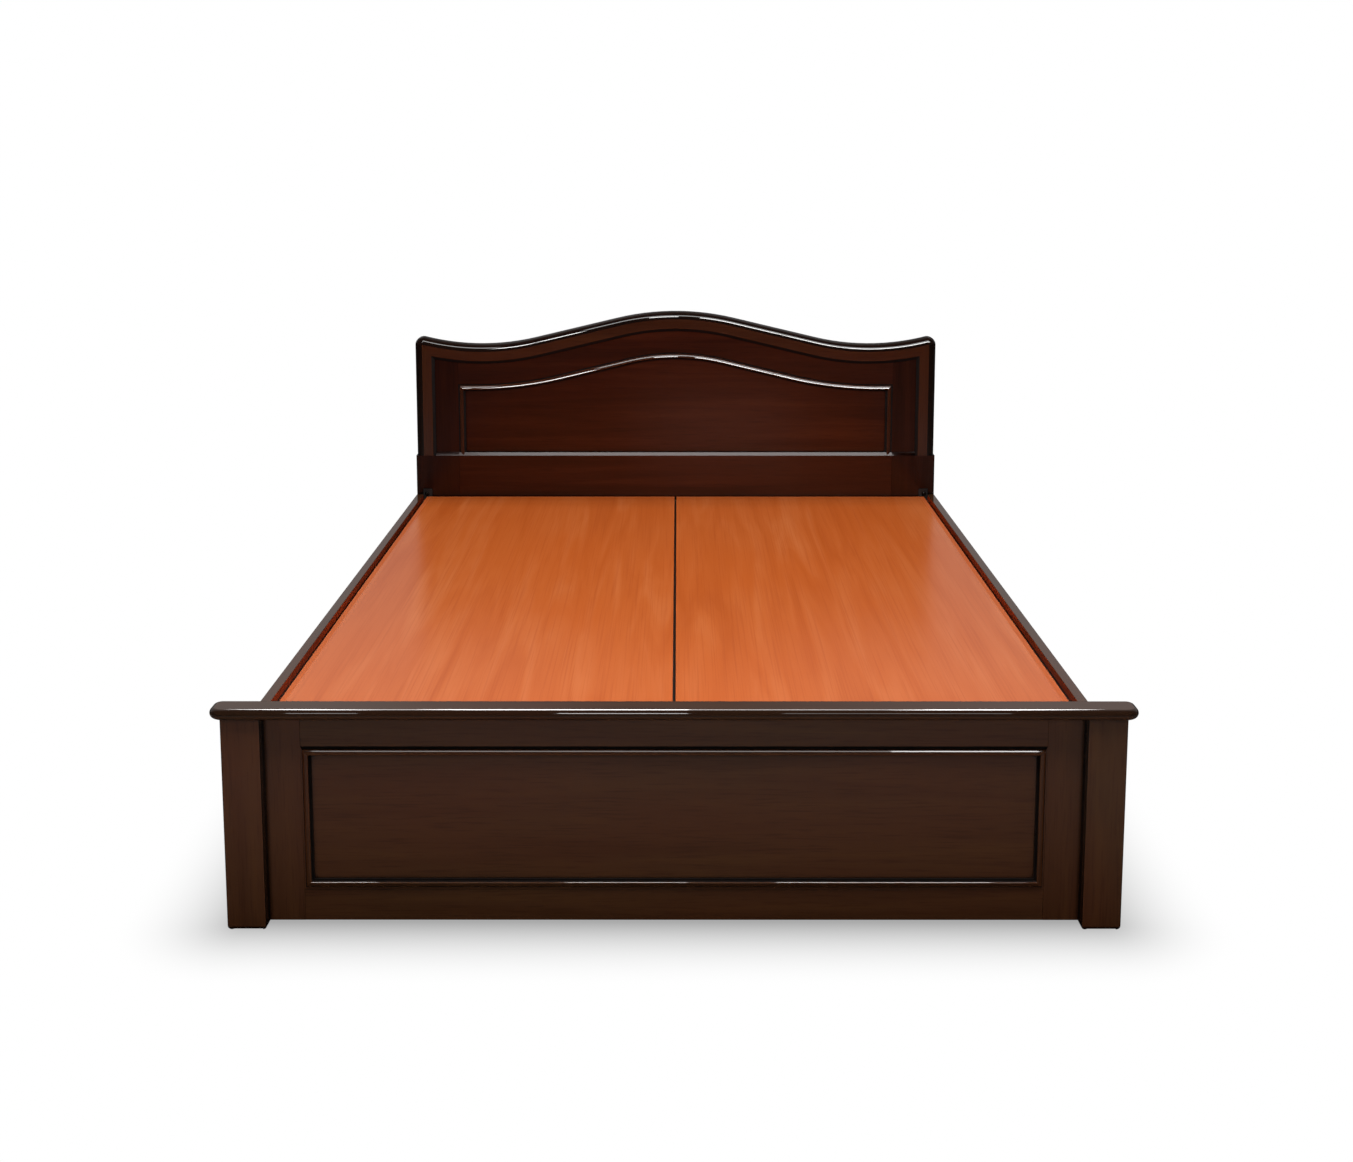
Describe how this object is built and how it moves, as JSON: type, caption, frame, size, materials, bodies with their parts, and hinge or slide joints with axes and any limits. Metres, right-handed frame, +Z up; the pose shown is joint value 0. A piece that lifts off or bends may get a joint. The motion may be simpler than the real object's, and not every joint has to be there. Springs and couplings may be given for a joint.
{
  "type": "wooden bed frame",
  "caption": "Low wooden double bed with a curved, panelled headboard, a capped panel footboard, plain side rails and a deck of two loose boards.",
  "frame": {"origin": "on the floor, under the middle of the whole bed", "axes": "+Z up, +Y towards the headboard, +X towards the right-hand side seen from the foot end"},
  "size_m": [1.709, 2.123, 0.9665],
  "materials": {
    "polished_hardwood": "high gloss dark stain",
    "deck_plywood": "satin, orange brown stain",
    "raw_timber": "planed, unfinished",
    "dowel_beech": "unfinished",
    "bracket_steel": "satin black",
    "zinc_plated_steel": "zinc plated",
    "black_oxide_steel": "black oxide",
    "glide_plastic": "matt black"
  },
  "bodies": {
    "bed_frame": {"beam_hanger_foot": "bracket_steel", "beam_hanger_head": "bracket_steel", "bed_bolt_nuts": "zinc_plated_steel", "bed_bolt_washers": "zinc_plated_steel", "bed_bolts": "black_oxide_steel", "centre_beam": "raw_timber", "centre_glides": "glide_plastic", "centre_leg_front": "raw_timber", "centre_leg_rear": "raw_timber", "corner_bracket_foot_left": "bracket_steel", "corner_bracket_foot_right": "bracket_steel", "corner_bracket_head_left": "bracket_steel", "corner_bracket_head_right": "bracket_steel", "foot_bracket_screws": "zinc_plated_steel", "footboard_bead_bottom": "polished_hardwood", "footboard_bead_left": "polished_hardwood", "footboard_bead_right": "polished_hardwood", "footboard_bead_top": "polished_hardwood", "footboard_bottom_rail": "polished_hardwood", "footboard_cap": "polished_hardwood", "footboard_cap_dowels": "dowel_beech", "footboard_glides": "glide_plastic", "footboard_left_leg": "polished_hardwood", "footboard_left_stile": "polished_hardwood", "footboard_panel": "polished_hardwood", "footboard_right_leg": "polished_hardwood", "footboard_right_stile": "polished_hardwood", "footboard_side_dowels": "dowel_beech", "footboard_top_rail": "polished_hardwood", "hanger_screws": "zinc_plated_steel", "headboard_bead_left": "polished_hardwood", "headboard_bead_right": "polished_hardwood", "headboard_bead_top": "polished_hardwood", "headboard_crest_moulding": "polished_hardwood", "headboard_glides": "glide_plastic", "headboard_left_border": "polished_hardwood", "headboard_left_post": "polished_hardwood", "headboard_lower_rail": "polished_hardwood", "headboard_panel": "polished_hardwood", "headboard_right_border": "polished_hardwood", "headboard_right_post": "polished_hardwood", "headboard_top_rail": "polished_hardwood", "ledger_screws": "zinc_plated_steel", "left_foot_ledger": "polished_hardwood", "left_head_ledger": "polished_hardwood", "left_side_ledger": "polished_hardwood", "left_side_rail": "polished_hardwood", "rail_bracket_screws": "zinc_plated_steel", "right_foot_ledger": "polished_hardwood", "right_head_ledger": "polished_hardwood", "right_side_ledger": "polished_hardwood", "right_side_rail": "polished_hardwood"},
    "left_deck_board": {"left_deck_board": "deck_plywood", "left_deck_batten_1": "raw_timber", "left_deck_batten_2": "raw_timber", "left_deck_batten_3": "raw_timber"},
    "right_deck_board": {"right_deck_board": "deck_plywood", "right_deck_batten_1": "raw_timber", "right_deck_batten_2": "raw_timber", "right_deck_batten_3": "raw_timber"}
  },
  "joints": [
    {"name": "left_board_lift", "type": "slide", "parent": "bed_frame", "child": "left_deck_board", "axis": [0, 0, 1], "range_m": [0, 0.3]},
    {"name": "right_board_lift", "type": "slide", "parent": "bed_frame", "child": "right_deck_board", "axis": [0, 0, 1], "range_m": [0, 0.3]}
  ]
}
